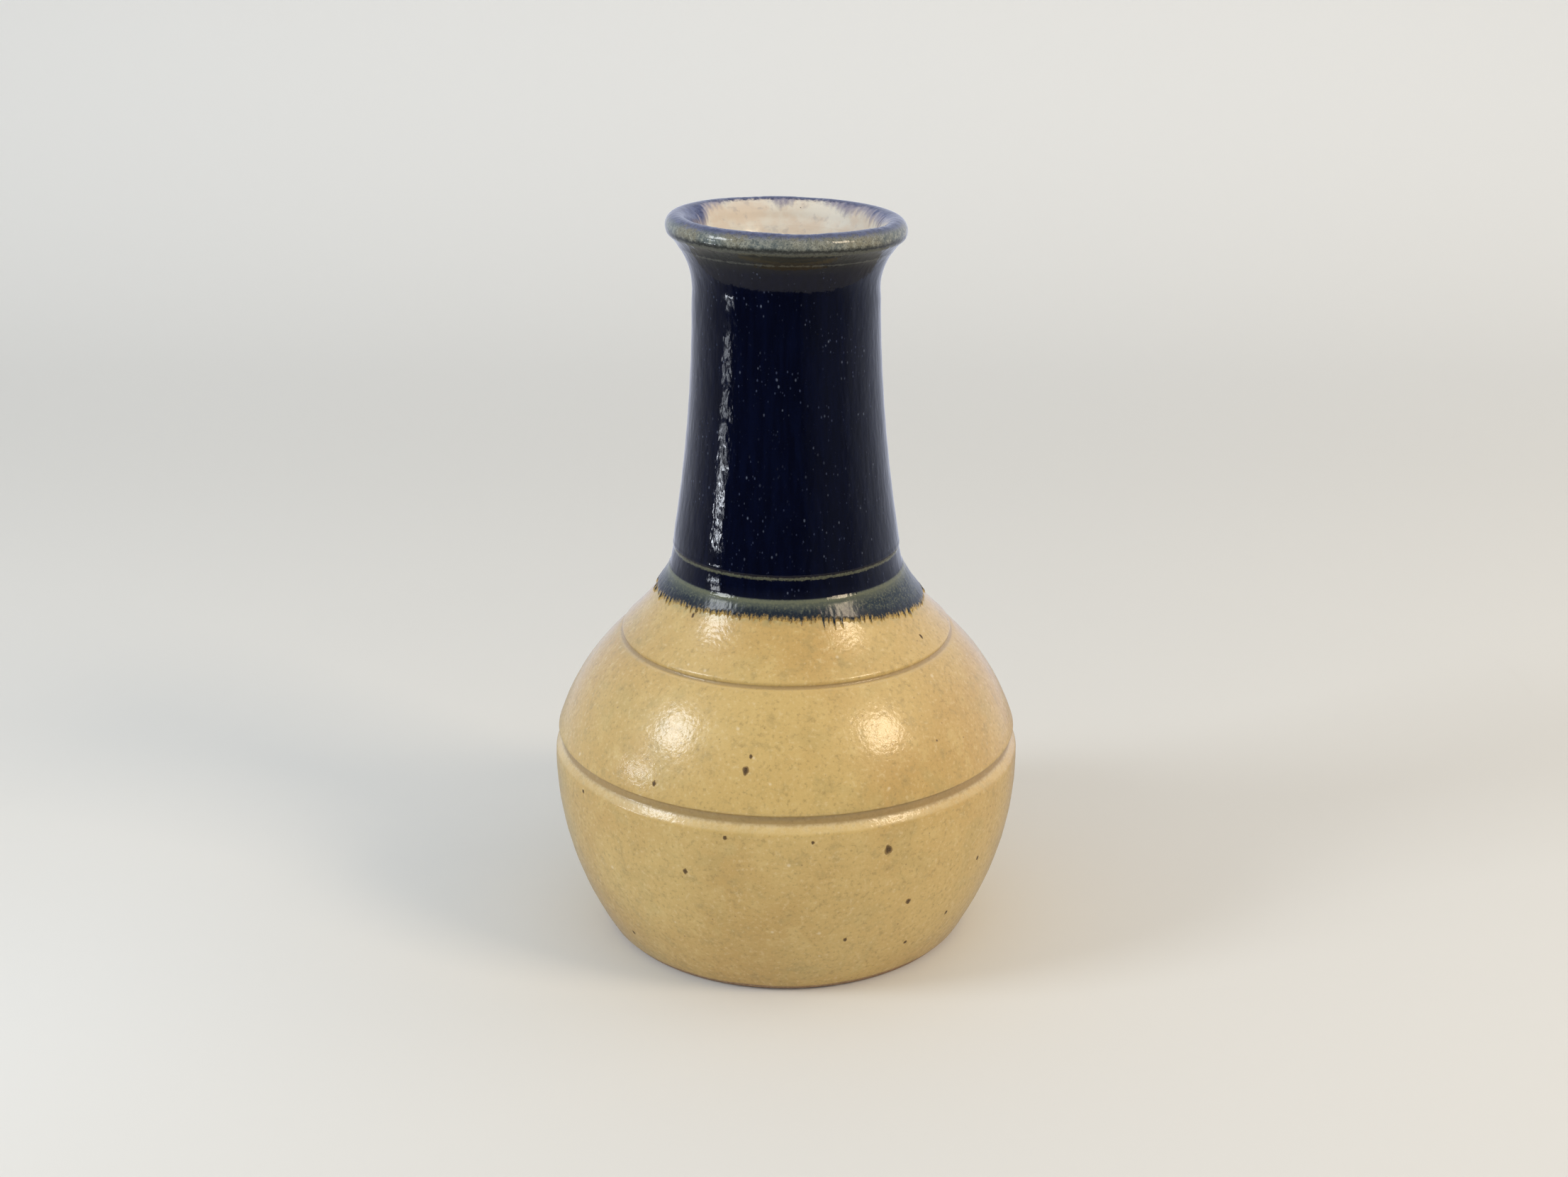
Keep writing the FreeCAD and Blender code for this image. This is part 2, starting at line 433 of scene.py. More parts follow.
def coat(name, curve, chosen, thickness, attributes, skip=2):
    """A closed skin: its outside stands off the curve by a thickness of rings x segments, and
    its inside is tucked just below the curve, with one ring for every skip outside."""
    segments = thickness.shape[1]
    normals = normals_of(curve)
    outside = curve[chosen][:, None, :] + normals[chosen][:, None, :] * thickness[..., None]
    hidden = np.unique(np.r_[np.arange(0, len(chosen), skip), len(chosen) - 1])[::-1]
    sunk = np.minimum(thickness.min(1), 0)[hidden] - TUCKED
    inside = curve[chosen[hidden]] + normals[chosen[hidden]] * sunk[:, None]
    filled = {}
    for key, values in attributes.items():
        values = np.broadcast_to(values, thickness.shape)
        filled[key] = np.concatenate([values, np.zeros((len(hidden), segments))])
    return turned(name, np.concatenate([outside, all_round(inside, segments)]), filled)


# ---------------------------------------------------------------- the layers' own curves

clay_section = section("stoneware_body")
straw_section = section("straw_glaze_coat")
liner_section = section("liner_glaze_coat")
straw_outside = straw_section[:straw_section[:, 1].argmax() + 1]
liner_inside = liner_section[liner_section[:, 1].argmax():]

clay_curve = soften(smooth_curve(clay_section), SOFTENING)
straw_curve = soften(smooth_curve(straw_outside), SOFTENING)
liner_curve = soften(smooth_curve(liner_inside), SOFTENING)

straw_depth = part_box("straw_glaze_coat")[1].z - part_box("stoneware_body")[1].z
cobalt_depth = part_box("cobalt_glaze_coat")[1].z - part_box("straw_glaze_coat")[1].z


def dipped_curve():
    """The surface that the cobalt covers, from the tips of its fringe up over the crest of the
    lip and into the mouth, and how far past the crest each point is."""
    curve = resample(smooth_curve(np.vstack([straw_outside, liner_inside])))
    along = lengths_along(curve)
    past = along - along[curve[:, 1].argmax()]
    curve = soften(curve, 1.4 * SOFTENING)
    keep = np.where(past > 0, past < MOUTH_REACH, curve[:, 1] > FRINGE_BOTTOM)
    return curve[keep], past[keep]


# ---------------------------------------------------------------- bare clay and liner


def clay_piece():
    chosen = stations(clay_curve, ring_gaps(clay_curve, CLAY_GAP))
    outline = all_round(clay_curve[chosen], BARE_SEGMENTS)
    outline[[0, -1], :, 0] = 0
    return turned("clay", outline, {}, closed=False)


def liner_piece():
    """A closed shell: the liner's face down to the middle of the floor, then its hidden back."""
    chosen = stations(liner_curve, ring_gaps(liner_curve, LINER_GAP))[:-1]
    face = liner_curve[chosen]
    back = (face - normals_of(liner_curve)[chosen] * TUCKED)[::-2]
    floor = np.array([0, liner_curve[-1, 1]])
    outline = np.vstack([face, floor, floor - [0, TUCKED], back])
    depth = np.r_[lengths_along(liner_curve)[chosen], np.zeros(2 + len(back))] / MM
    return turned("liner", all_round(outline, BARE_SEGMENTS), {"depth": depth[:, None]})


# ---------------------------------------------------------------- straw coat


def fringe_line(angles):
    """The even part of the line where the blue ends: lower at both sides, lowest at +X."""
    return FRINGE_HEIGHT - FRINGE_LEAN * np.cos(angles) - FRINGE_SAG * np.cos(angles) ** 2


def straw_piece():
    """The straw coat. It thins out at the glaze line and carries where glaze has pooled, where
    it is covered, the halo round the fringe and the upper faces of the tooled rings, where
    light is painted."""
    angles = angles_round(STRAW_SEGMENTS)
    chosen = stations(straw_curve, ring_gaps(straw_curve, STRAW_GAP, STRAW_DETAIL))
    height = straw_curve[chosen, 1][:, None]
    line = GLAZE_LINE + 0.2 * MM * round_noise(angles, 2, 24)
    covered = ease(height - line, -0.1 * MM, 0.7 * MM)
    thickness = (covered - 1) * (straw_depth + 0.06 * MM)
    pool = pooling(straw_curve)[chosen][:, None]
    halo = ease(fringe_line(angles) - height, 1.6 * MM, -0.4 * MM)
    # The upper faces of the tooled rings, on which the straw material paints light.
    painted_ledge_light = ledges(straw_curve)[chosen][:, None] * ease(height, 30 * MM, 40 * MM)
    return coat("straw_coat", straw_curve, chosen, thickness,
                {"pool": pool, "covered": covered, "halo": halo, "painted_ledge_light": painted_ledge_light})


# ---------------------------------------------------------------- cobalt coat


def fringe_edge(angles):
    """The ragged line where the blue ends: short teeth, longer in some patches."""
    teeth = round_noise(angles, TOOTH_COUNT * 0.5, TOOTH_COUNT * 1.4, 0)
    teeth = np.clip(teeth * 1.5, 0, 1) ** 1.3
    patches = 0.5 + 0.5 * round_noise(angles, 3, 17)
    line = fringe_line(angles) + 0.35 * MM * round_noise(angles, 4, 40)
    return line + 0.3 * MM - (0.5 + 1.6 * patches) * MM * teeth


def mouth_edge(angles):
    """How far past the crest the blue runs into the mouth."""
    reach = (1.6 + 0.5 * round_noise(angles, 2, 12)) * MM
    for bearing, width, depth in DEEP_RUNS:
        off = np.degrees(np.angle(np.exp(1j * (angles - math.radians(bearing)))))
        reach = reach + depth * bell(off, 0, width)
    return reach * (1 + 0.22 * round_noise(angles, 12, 110, 0.3))


def cobalt_piece():
    """The cobalt coat. It carries each point's height, how far it is above the fringe, past the
    crest and short of the edge in the mouth, all in millimetres."""
    angles = angles_round(COBALT_SEGMENTS)
    curve, past = dipped_curve()
    gaps = np.where(past > 0, MOUTH_GAP, ring_gaps(curve, COBALT_GAP, COBALT_DETAIL))
    chosen = stations(curve, gaps, shortest=0.2 * MM)
    height = curve[chosen, 1][:, None]
    past = past[chosen][:, None]
    above = height - fringe_edge(angles)
    left = mouth_edge(angles) - past
    thin = np.clip(-pooling(curve)[chosen][:, None], 0, 1) * (height < 90 * MM)
    thickness = cobalt_depth * (1 - 0.5 * thin)
    thickness = thickness * (1 + 0.15 * bell(above, 1.0 * MM, 0.8 * MM))
    for centre, width, rise in RELIEF:
        thickness = thickness + rise * MM * bell(height, centre * MM, width * MM) * (past < 0)
    fill = ease(above, -0.6 * MM, 0.5 * MM) * ease(left, -1.2 * MM, 3.5 * MM)
    thickness = fill * thickness - (1 - fill) * 0.12 * MM
    measures = {"above": above, "left": left, "past": past, "height": height}
    attributes = {name: value / MM for name, value in measures.items()}
    return coat("cobalt_coat", curve, chosen, thickness, attributes, skip=4)


# ---------------------------------------------------------------- iron specks


def islands(node):
    """The centre and size of each separate solid of a node."""
    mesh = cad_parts[node].data
    places = np.empty(len(mesh.vertices) * 3)
    mesh.vertices.foreach_get("co", places)
    places = places.reshape(-1, 3)
    parent = list(range(len(places)))

    def root(i):
        while parent[i] != i:
            parent[i] = parent[parent[i]]
            i = parent[i]
        return i

    for edge in mesh.edges:
        a, b = (root(i) for i in edge.vertices)
        parent[a] = b
    groups = {}
    for i in range(len(places)):
        groups.setdefault(root(i), []).append(i)
    merged = []
    for group in groups.values():
        lowest, highest = places[group].min(0), places[group].max(0)
        centre, size = (lowest + highest) / 2, (highest[2] - lowest[2]) / 2
        near = [other for other in merged if np.linalg.norm(other[0] - centre) < 1.2 * MM]
        if near:
            near[0][1] = max(near[0][1], size)
        else:
            merged.append([centre, size])
    return merged


def speck_points(centre, size):
    """A speck's rings of points, out over its domed face and back under it, and how far out
    each point is. The rings follow the wall of the pot."""
    middle = math.atan2(centre[1], centre[0])
    turns = angles_round(SPECK_POINTS)
    size = size * SPECK_SPREAD * (1 + SPECK_UNEVENNESS * round_noise(turns, 2, 5))
    tall = rng.uniform(1.0, 1.35)
    steps = np.linspace(0, 1, SPECK_RINGS + 1)[1:]
    face = [(step, 0.05 * MM * (1 - step ** 2) - 0.015 * MM, step) for step in steps]
    back = [(step, -0.12 * MM * (1 - step ** 2) - 0.03 * MM, 1.0) for step in steps[-2::-1]]
    points, rims = [], []
    for step, lift, rim in face + back:
        across = size * step * np.cos(turns)
        z = centre[2] + size * tall * step * np.sin(turns)
        radius = np.interp(z, straw_curve[:, 1], straw_curve[:, 0]) + lift
        angle = middle + across / radius
        points += list(np.stack([radius * np.cos(angle), radius * np.sin(angle), z], 1))
        rims += [rim] * SPECK_POINTS
    return points, rims


def tube_faces(start, rings):
    """The faces between rings of points numbered from start, with a cap at each end."""
    loops = start + np.arange(rings * SPECK_POINTS).reshape(rings, SPECK_POINTS)
    after = np.roll(loops, -1, 1)
    walls = np.stack([loops[:-1], after[:-1], after[1:], loops[1:]], -1).reshape(-1, 4)
    return walls.tolist() + [loops[0, ::-1].tolist(), loops[-1].tolist()]


def speck_piece():
    points, faces, rims = [], [], []
    for centre, size in islands("iron_specks"):
        new_points, new_rims = speck_points(centre, size)
        faces += tube_faces(len(points), len(new_points) // SPECK_POINTS)
        points += new_points
        rims += new_rims
    mesh = bpy.data.meshes.new("iron_spots")
    mesh.from_pydata(thrown(np.array(points)), [], faces)
    add_attribute(mesh, "rim", rims)
    mesh.shade_smooth()
    return linked("iron_spots", mesh)


# ---------------------------------------------------------------- materials


class Graph:
    """A material's node tree, with a short way to add and join nodes."""

    def __init__(self, name):
        self.material = bpy.data.materials.new(name)
        self.material.use_nodes = True
        self.tree = self.material.node_tree
        self.shader = self.tree.nodes["Principled BSDF"]
        self.place = self.add("ShaderNodeTexCoord").outputs["Object"]

    def add(self, kind, **settings):
        node = self.tree.nodes.new(kind)
        for key, value in settings.items():
            setattr(node, key, value)
        return node

    def put(self, value, socket):
        if isinstance(value, bpy.types.NodeSocket):
            self.tree.links.new(value, socket)
        else:
            socket.default_value = value

    def shade(self, **inputs):
        """Sets the shader's inputs, with _ for each space in an input's name."""
        for name, value in inputs.items():
            self.put(value, self.shader.inputs[name.replace("_", " ")])

    def math(self, operation, a, b=0.0):
        node = self.add("ShaderNodeMath", operation=operation)
        self.put(a, node.inputs[0])
        self.put(b, node.inputs[1])
        return node.outputs[0]

    def plus(self, a, b):
        return self.math("ADD", a, b)

    def times(self, a, b):
        return self.math("MULTIPLY", a, b)

    def swing(self, noise, width):
        """The noise moved to lie about zero, over a width."""
        return self.times(self.math("SUBTRACT", noise, 0.5), width)

    def remap(self, value, low, high, to_low=0.0, to_high=1.0):
        node = self.add("ShaderNodeMapRange", interpolation_type="SMOOTHSTEP")
        for socket, item in zip(node.inputs, (value, low, high, to_low, to_high)):
            self.put(item, socket)
        return node.outputs[0]

    def blend(self, factor, a, b):
        node = self.add("ShaderNodeMix", data_type="RGBA")
        for index, item in ((0, factor), (6, a), (7, b)):
            self.put((*item, 1) if isinstance(item, tuple) else item, node.inputs[index])
        return node.outputs[2]

    def stretched(self, stretch):
        node = self.add("ShaderNodeVectorMath", operation="MULTIPLY")
        self.put(self.place, node.inputs[0])
        self.put(stretch, node.inputs[1])
        return node.outputs[0]

    def noise(self, size, detail=3, rough=0.55, stretch=(1, 1, 1), warp=0.0):
        """Soft noise, whose features are about size metres across."""
        node = self.add("ShaderNodeTexNoise")
        self.put(self.stretched(stretch), node.inputs["Vector"])
        self.put(1 / size, node.inputs["Scale"])
        self.put(detail, node.inputs["Detail"])
        self.put(rough, node.inputs["Roughness"])
        self.put(warp, node.inputs["Distortion"])
        return node.outputs["Fac"]

    def dots(self, size, stretch):
        """Distance to the nearest of many scattered points, and two random numbers for it."""
        node = self.add("ShaderNodeTexVoronoi")
        self.put(self.stretched(stretch), node.inputs["Vector"])
        self.put(1 / size, node.inputs["Scale"])
        split = self.add("ShaderNodeSeparateColor")
        self.put(node.outputs["Color"], split.inputs[0])
        return node.outputs["Distance"], split.outputs[0], split.outputs[1]

    def flecks(self, size, share, radius, soft=0.08, stretch=(1, 1, 1), strength=1.0):
        """Round flecks in a share of the cells, at most radius cells wide, with a soft edge."""
        distance, chance, width = self.dots(size, stretch)
        room = self.times(self.plus(self.times(width, 0.7), 0.3), radius)
        disc = self.remap(distance, room, self.math("SUBTRACT", room, soft))
        there = self.math("LESS_THAN", chance, share)
        return self.times(self.times(disc, there), strength)

    def attribute(self, name):
        return self.add("ShaderNodeAttribute", attribute_name=name).outputs["Fac"]

    def bump(self, height, distance, strength=1.0, onto="Normal"):
        node = self.add("ShaderNodeBump")
        self.put(distance, node.inputs["Distance"])
        self.put(strength, node.inputs["Strength"])
        self.put(height, node.inputs["Height"])
        self.put(node.outputs[0], self.shader.inputs[onto])

    def wear(self, piece):
        piece.data.materials.append(self.material)


def clay_material():
    g = Graph("bare_stoneware")
    grain = g.noise(0.6 * MM, 5, 0.7)
    color = g.blend(g.noise(9 * MM), CLAY_DARK, CLAY_LIGHT)
    color = g.blend(g.remap(grain, 0.35, 0.7), color, CLAY_GRAIN)
    color = g.blend(g.flecks(2.2 * MM, 0.4, 0.16), color, CLAY_FLECK)
    g.bump(grain, 0.15 * MM, 0.8)
    g.shade(Base_Color=color, Roughness=0.85)
    return g


def straw_color(g):
    """The straw glaze's own colour: ochre, mottled at several sizes, with small brown spots. It
    also gives the finest noise."""
    broad = g.noise(30 * MM, 3, 0.5)
    cloud = g.noise(4.0 * MM, 4, 0.7)
    fine = g.noise(0.9 * MM, 3, 0.65)
    patch = g.noise(11 * MM, 4, 0.6, warp=0.6)
    color = g.blend(g.remap(broad, 0.35, 0.65), OCHRE, OCHRE_LIGHT)
    color = g.blend(g.remap(cloud, 0.5, 0.72, 0, 0.6), color, CLOUD_LIGHT)
    color = g.blend(g.remap(cloud, 0.47, 0.3, 0, 0.6), color, CLOUD_DARK)
    color = g.blend(g.remap(patch, 0.52, 0.66, 0, 0.25), color, OLIVE_PATCH)
    color = g.blend(g.remap(fine, 0.52, 0.72, 0, 0.6), color, GRAIN_DARK)
    color = g.blend(g.remap(fine, 0.45, 0.3, 0, 0.5), color, GRAIN_LIGHT)
    color = g.blend(g.flecks(1.5 * MM, 0.2, 0.2, 0.12, strength=0.6), color, SPOT_BROWN)
    color = g.blend(g.flecks(4.2 * MM, 0.25, 0.08, 0.05, strength=0.85), color, SPOT_DARK)
    color = g.blend(g.flecks(3.3 * MM, 0.2, 0.18, 0.1, strength=0.6), color, SPOT_PALE)
    return color, fine


def straw_material():
    """Straw glaze, browner where it pools, with painted light that makes the upper faces of the
    tooled rings paler, olive beside the blue, with bare brown clay below its edge at the foot
    and an orange-peel gloss."""
    g = Graph("straw_glaze")
    color, fine = straw_color(g)
    pooled = g.plus(g.attribute("pool"), g.swing(fine, 0.5))
    color = g.blend(g.remap(pooled, 0.1, 0.7, 0, 0.6), color, POOL_BROWN)
    # Painted light: the upper faces of the tooled rings are made paler, as if lit from above.
    lit = g.times(g.attribute("painted_ledge_light"), g.remap(fine, 0.35, 0.6, 0.1, 0.55))
    color = g.blend(lit, color, LEDGE_PAINTED_LIGHT)
    wisps = g.noise(1.2 * MM, 3, 0.6, (1, 1, 0.3))
    halo = g.times(g.attribute("halo"), g.remap(wisps, 0.35, 0.65, 0.1, 0.75))
    color = g.blend(halo, color, HALO_OLIVE)
    color = g.blend(g.remap(g.attribute("covered"), 0.9, 0.3), color, FOOT_BROWN)
    peel = g.noise(1.0 * MM, 2, 0.5)
    g.bump(peel, 0.05 * MM)
    g.bump(peel, 0.08 * MM, onto="Coat Normal")
    g.shade(Base_Color=color, Roughness=g.remap(fine, 0.3, 0.7, 0.42, 0.5), Coat_Weight=0.8,
            Coat_Roughness=0.18)
    return g


def liner_color(g):
    """The liner's own colour: clouded cream with small dark flecks."""
    color = g.blend(g.remap(g.noise(6 * MM, 4, 0.6), 0.38, 0.62), CREAM_WARM, CREAM_PALE)
    color = g.blend(g.remap(g.noise(2.2 * MM, 3, 0.6), 0.55, 0.7, 0, 0.4), color, CREAM_GREY)
    return g.blend(g.flecks(1.5 * MM, 0.3, 0.15), color, CREAM_FLECK)


def liner_material():
    """Cream glaze, dull near the lip and glossy further down."""
    g = Graph("cream_liner")
    g.bump(g.noise(3 * MM, 2), 0.03 * MM, 0.6)
    g.shade(Base_Color=liner_color(g), Roughness=g.remap(g.attribute("depth"), 5.5, 7.5, 0.5, 0.15))
    return g


def cobalt_material():
    """Cobalt glaze, from the fringe up: slate teeth, a teal skirt, navy with pale flecks up the
    neck, a dark flare, a grey-green face, a blue crest, then lavender and cream in the mouth."""
    g = Graph("cobalt_glaze")
    runs = g.noise(1.3 * MM, 4, 0.65, (1, 1, 0.1))
    teeth = g.noise(0.42 * MM, 2, 0.6, (1, 1, 0.25))
    mottle = g.noise(0.9 * MM, 4, 0.65)
    grain = g.noise(0.28 * MM, 2, 0.6)
    height = g.attribute("height")
    tooth = g.plus(g.attribute("above"), g.swing(teeth, 2.0))
    edge = g.plus(g.attribute("past"), g.swing(mottle, 2.4))
    tongue = g.plus(g.attribute("left"), g.swing(runs, 3.2))

    def ring(centre, half_width, strength):
        """A thin uneven ring where the coat breaks over an edge."""
        off = g.math("ABSOLUTE", g.math("SUBTRACT", height, centre))
        off = g.plus(off, g.swing(mottle, 1.1))
        broken = g.remap(grain, 0.3, 0.6, strength * 0.5, strength)
        return g.times(g.remap(off, half_width, half_width * 0.3), broken)

    # The neck.
    navy = g.blend(g.remap(runs, 0.35, 0.7), NAVY_DARK, NAVY_LIGHT)
    crowd = g.remap(g.noise(8 * MM, 2), 0.42, 0.62, 0.15, 1)
    dust = g.flecks(0.75 * MM, 0.75, 0.32, 0.22, (1, 1, 0.6), 0.5)
    navy = g.blend(g.times(dust, crowd), navy, NAVY_DUST)
    large = g.flecks(1.15 * MM, 0.75, 0.25, 0.2, (1, 1, 0.6), 0.75)
    navy = g.blend(g.times(large, crowd), navy, NAVY_FLECK)

    # Below the collar: teal with olive grains, paler at its top and slate on the teeth, which
    # thin out over the straw glaze.
    grains = g.remap(g.noise(0.5 * MM, 4, 0.7), 0.46, 0.68, 0, 0.75)
    skirt = g.blend(grains, SKIRT_TEAL, SKIRT_OLIVE)
    skirt = g.blend(g.remap(height, *SKIRT_PALING, 0, 0.55), skirt, SKIRT_PALE)
    skirt = g.blend(g.remap(tooth, 2.4, 0.9, 0, 0.85), skirt, SKIRT_SLATE)
    color = g.blend(g.remap(height, *SKIRT_TOP), navy, skirt)
    color = g.blend(ring(*COLLAR_LINE), color, COLLAR_OLIVE)
    color = g.blend(ring(*NECK_LINE), color, NECK_OLIVE)
    film = g.remap(g.plus(tooth, g.swing(grain, 1.1)), 0.75, -0.55)
    color = g.blend(film, color, straw_color(g)[0])

    # Up the flare to the lip: dark, with two pale rings, then grey green, then blue on the crest.
    color = g.blend(g.remap(height, *FLARE_DARKENING), color, FLARE_DARK)
    color = g.blend(g.remap(height, *FLARE_GREYING), color, FLARE_GREY)
    color = g.blend(ring(*PALE_RING), color, RING_GREY)
    color = g.blend(ring(*RIDGE), color, RIDGE_OLIVE)
    face = g.blend(g.remap(g.noise(9 * MM, 2), 0.4, 0.6), FACE_GREEN, FACE_OLIVE)
    face = g.blend(g.remap(mottle, 0.42, 0.62, 0, 0.65), face, FACE_PALE)
    face = g.blend(g.remap(grain, 0.5, 0.66, 0, 0.6), face, FACE_DARK)
    color = g.blend(g.remap(g.plus(height, mottle), *LIP_FACE_FOOT), color, face)
    blue = g.blend(g.remap(mottle, 0.38, 0.62), CREST_DARK, CREST_LIGHT)
    color = g.blend(g.remap(edge, -2.3, -0.9, 0, 0.85), color, blue)

    # Into the mouth: blue, then lavender, then the cream of the liner.
    in_mouth = g.remap(edge, 0.6, 1.5)
    inner = g.blend(g.remap(tongue, 2.0, 4.4), LAVENDER, blue)
    inner = g.blend(g.remap(tongue, 2.6, 0.3), inner, liner_color(g))
    color = g.blend(in_mouth, color, inner)
    color = g.blend(g.flecks(2.0 * MM, 0.15, 0.12, 0.04), color, CREST_FLECK)

    # Gloss, duller on the skirt and where the blue has melted into the liner.
    dulled = g.times(g.remap(tongue, 2.6, 0.3, 0, 0.4), in_mouth)
    dulled = g.plus(dulled, g.remap(height, *SKIRT_DULLING, 0, 0.14))
    streaks = g.noise(1.2 * MM, 2, 0.5, (1, 1, 0.35))
    waves = g.times(g.noise(5 * MM, 3, 0.5, (1, 1, 0.5)), 2.6)
    g.bump(g.plus(streaks, waves), 0.07 * MM)
    g.shade(Base_Color=color, Roughness=g.plus(dulled, g.remap(mottle, 0.3, 0.7, 0.06, 0.12)),
            Specular_IOR_Level=0.36)
    return g


def speck_material():
    g = Graph("iron_spots")
    grain = g.noise(0.25 * MM, 3, 0.6)
    color = g.blend(g.remap(grain, 0.35, 0.65), IRON_DARK, IRON_LIGHT)
    color = g.blend(g.remap(g.attribute("rim"), 0.4, 1.0, 0, 0.95), color, IRON_RIM)
    g.shade(Base_Color=color, Roughness=0.5, Specular_IOR_Level=0.25)
    return g


def paper_material():
    """Pale paper, lighter up the backdrop, and darker where gloss reflects it."""
    g = Graph("pale_paper")
    place = g.add("ShaderNodeSeparateXYZ")
    g.put(g.place, place.inputs[0])
    tone = g.blend(g.remap(place.outputs["Y"], 0.3, 0.9), PAPER_FLOOR, PAPER_WALL)
    in_gloss = g.add("ShaderNodeLightPath").outputs["Is Glossy Ray"]
    color = g.blend(in_gloss, tone, PAPER_IN_GLOSS)
    g.shade(Base_Color=color, Roughness=0.9, Specular_IOR_Level=0.2)
    return g


# ---------------------------------------------------------------- the pieces

clay = clay_piece()
liner = liner_piece()
straw = straw_piece()
cobalt = cobalt_piece()
specks = speck_piece()

clay_material().wear(clay)
straw_material().wear(straw)
liner_material().wear(liner)
cobalt_material().wear(cobalt)
speck_material().wear(specks)

for piece, node, slot in ((clay, "stoneware_body", "stoneware"),
                          (straw, "straw_glaze_coat", "straw_glaze"),
                          (liner, "liner_glaze_coat", "liner_glaze"),
                          (cobalt, "cobalt_glaze_coat", "cobalt_glaze"),
                          (specks, "iron_specks", "iron_spot")):
    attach(piece, "root")
    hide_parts(node)


# ---------------------------------------------------------------- floor and backdrop

paper = paper_material()


def stage_mesh(name, points, faces, in_gloss):
    mesh = bpy.data.meshes.new(name)
    mesh.from_pydata(points, [], faces)
    mesh.shade_smooth()
    thing = linked(name, mesh)
    thing.visible_glossy = in_gloss
    paper.wear(thing)


def round_sheet(radius=0.24, unevenness=0.02, count=96):
    """The sheet under the pot, which gloss reflects."""
    angles = angles_round(count)
    edge = radius + unevenness * round_noise(angles, 3, 24)
    points = [(r * math.cos(a), r * math.sin(a), 0) for r, a in zip(edge, angles)]
    stage_mesh("sheet", points, [list(range(count))], True)


def wide_sweep(front=-3.0, bend_from=0.5, bend=0.6, top=3.0, half_width=4.0, drop=0.2 * MM):
    """The floor that bends up into the backdrop, just below the sheet. Gloss doesn't reflect it."""
    arc = [(bend_from + bend * math.sin(a), bend - bend * math.cos(a))
           for a in np.linspace(0, math.pi / 2, 25)]
    profile = [(front, 0)] + arc + [(bend_from + bend, top)]
    points = [(x, y, z - drop) for y, z in profile for x in (-half_width, half_width)]
    faces = [[2 * i, 2 * i + 1, 2 * i + 3, 2 * i + 2] for i in range(len(profile) - 1)]
    stage_mesh("sweep", points, faces, False)


round_sheet()
wide_sweep()


# ---------------------------------------------------------------- lamps


def area_light(name, bearing, elevation, distance, size, power, color, target):
    """An area light on a bearing from the vase, in degrees: 0 is the front and positive is to
    the right."""
    turn, rise = math.radians(bearing), math.radians(elevation)
    level = math.cos(rise)
    away = Vector((math.sin(turn) * level, -math.cos(turn) * level, math.sin(rise)))
    data = bpy.data.lights.new(name, "AREA")
    data.shape = "RECTANGLE"
    data.size, data.size_y = size
    data.energy = power
    data.color = color
    light = linked(name, data)
    light.location = Vector(target) + away * distance
    light.rotation_euler = away.to_track_quat("Z", "Y").to_euler()
    light.visible_camera = False
    return light


# Each lamp has a bearing, an elevation, a distance, a size, a power, a colour and a target.
middle = (0, 0, 80 * MM)
lip = (0, 0, 150 * MM)
area_light("window_high", -68, 32.5, 0.9, (0.25, 0.25), 2.5, COOL, middle)
area_light("window_low", -72, 10, 0.9, (0.10, 0.11), 0.36, COOL, middle)
for bearing, height, width, tall, power in WINDOW_PANES:
    area_light("pane", bearing, 0, PANE_DISTANCE, (width, tall), power, PANE_COLOR, (0, 0, height))
area_light("warm_lamp", 60, 37, 1.0, (0.28, 0.24), 3.3, WARM, middle)
area_light("ceiling_lamp", 52, 45, 1.0, (0.05, 0.03), 0.12, WARM, lip)
area_light("far_side", 100, 22, 1.0, (0.5, 0.5), 1.3, WARM, middle).visible_glossy = False


# ---------------------------------------------------------------- surroundings

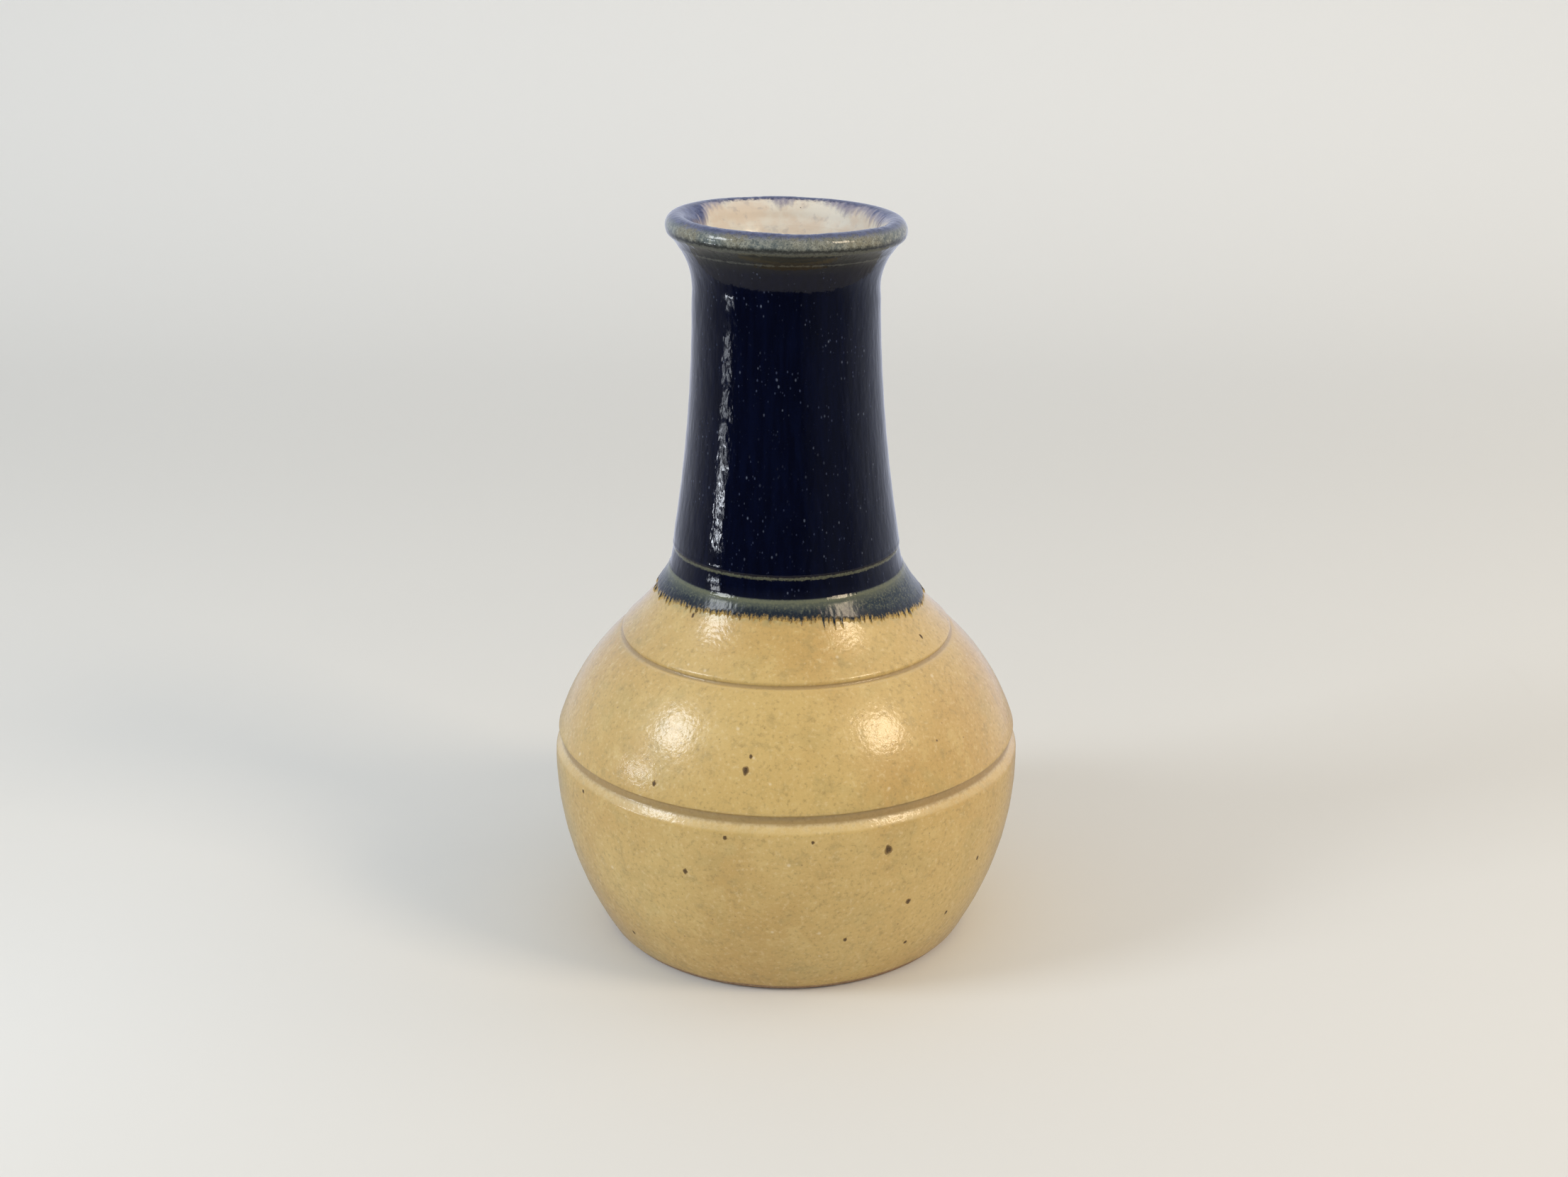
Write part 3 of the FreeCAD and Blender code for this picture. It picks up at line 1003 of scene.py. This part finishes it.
world = bpy.data.worlds.new("room")
world.use_nodes = True
tree = world.node_tree


def world_node(kind, inputs, **settings):
    """A node of the world with its inputs set or joined, given by their name or number."""
    node = tree.nodes.new(kind)
    for key, value in settings.items():
        setattr(node, key, value)
    for key, value in inputs.items():
        if isinstance(value, bpy.types.NodeSocket):
            tree.links.new(value, node.inputs[key])
        else:
            node.inputs[key].default_value = value
    return node


def gradient(value, low, high, to_low, to_high):
    inputs = dict(enumerate((value, low, high, to_low, to_high)))
    return world_node("ShaderNodeMapRange", inputs).outputs[0]


def total(a, b):
    return world_node("ShaderNodeMath", {0: a, 1: b}, operation="ADD").outputs[0]


# Soft even light all round. Gloss reflects a white backdrop behind the pot and a dim room in
# front of it, a little lighter above and to the right, and the camera sees a plain backdrop.
rays = world_node("ShaderNodeLightPath", {}).outputs
direction = world_node("ShaderNodeTexCoord", {}).outputs["Generated"]
toward = world_node("ShaderNodeSeparateXYZ", {0: direction}).outputs
room = gradient(toward["Y"], -0.4, 0.9, 0.035, 0.80)
room = total(room, gradient(toward["Z"], 0.05, 0.9, 0.0, 0.25))
room = total(room, gradient(toward["X"], 0.25, 0.8, 0.0, 0.13))
light = world_node("ShaderNodeMix", {0: rays["Is Glossy Ray"], 2: AMBIENT, 3: room}).outputs[0]
light = world_node("ShaderNodeMix", {0: rays["Is Camera Ray"], 2: light, 3: BACKDROP}).outputs[0]
tint = world_node("ShaderNodeMix", {0: rays["Is Glossy Ray"], 6: ROOM_TINT, 7: GLOSS_TINT},
                  data_type="RGBA").outputs[2]
background = tree.nodes["Background"]
tree.links.new(tint, background.inputs["Color"])
tree.links.new(light, background.inputs["Strength"])
bpy.context.scene.world = world
bpy.context.scene.view_settings.view_transform = "Standard"


# ---------------------------------------------------------------- camera

camera_data = bpy.data.cameras.new("camera")
camera_data.lens = CAMERA_LENS
camera_data.sensor_width = CAMERA_SENSOR
camera = linked("camera", camera_data)
camera.location = CAMERA_PLACE
camera.rotation_euler = (math.radians(90 - CAMERA_DIP), 0, 0)
bpy.context.scene.camera = camera
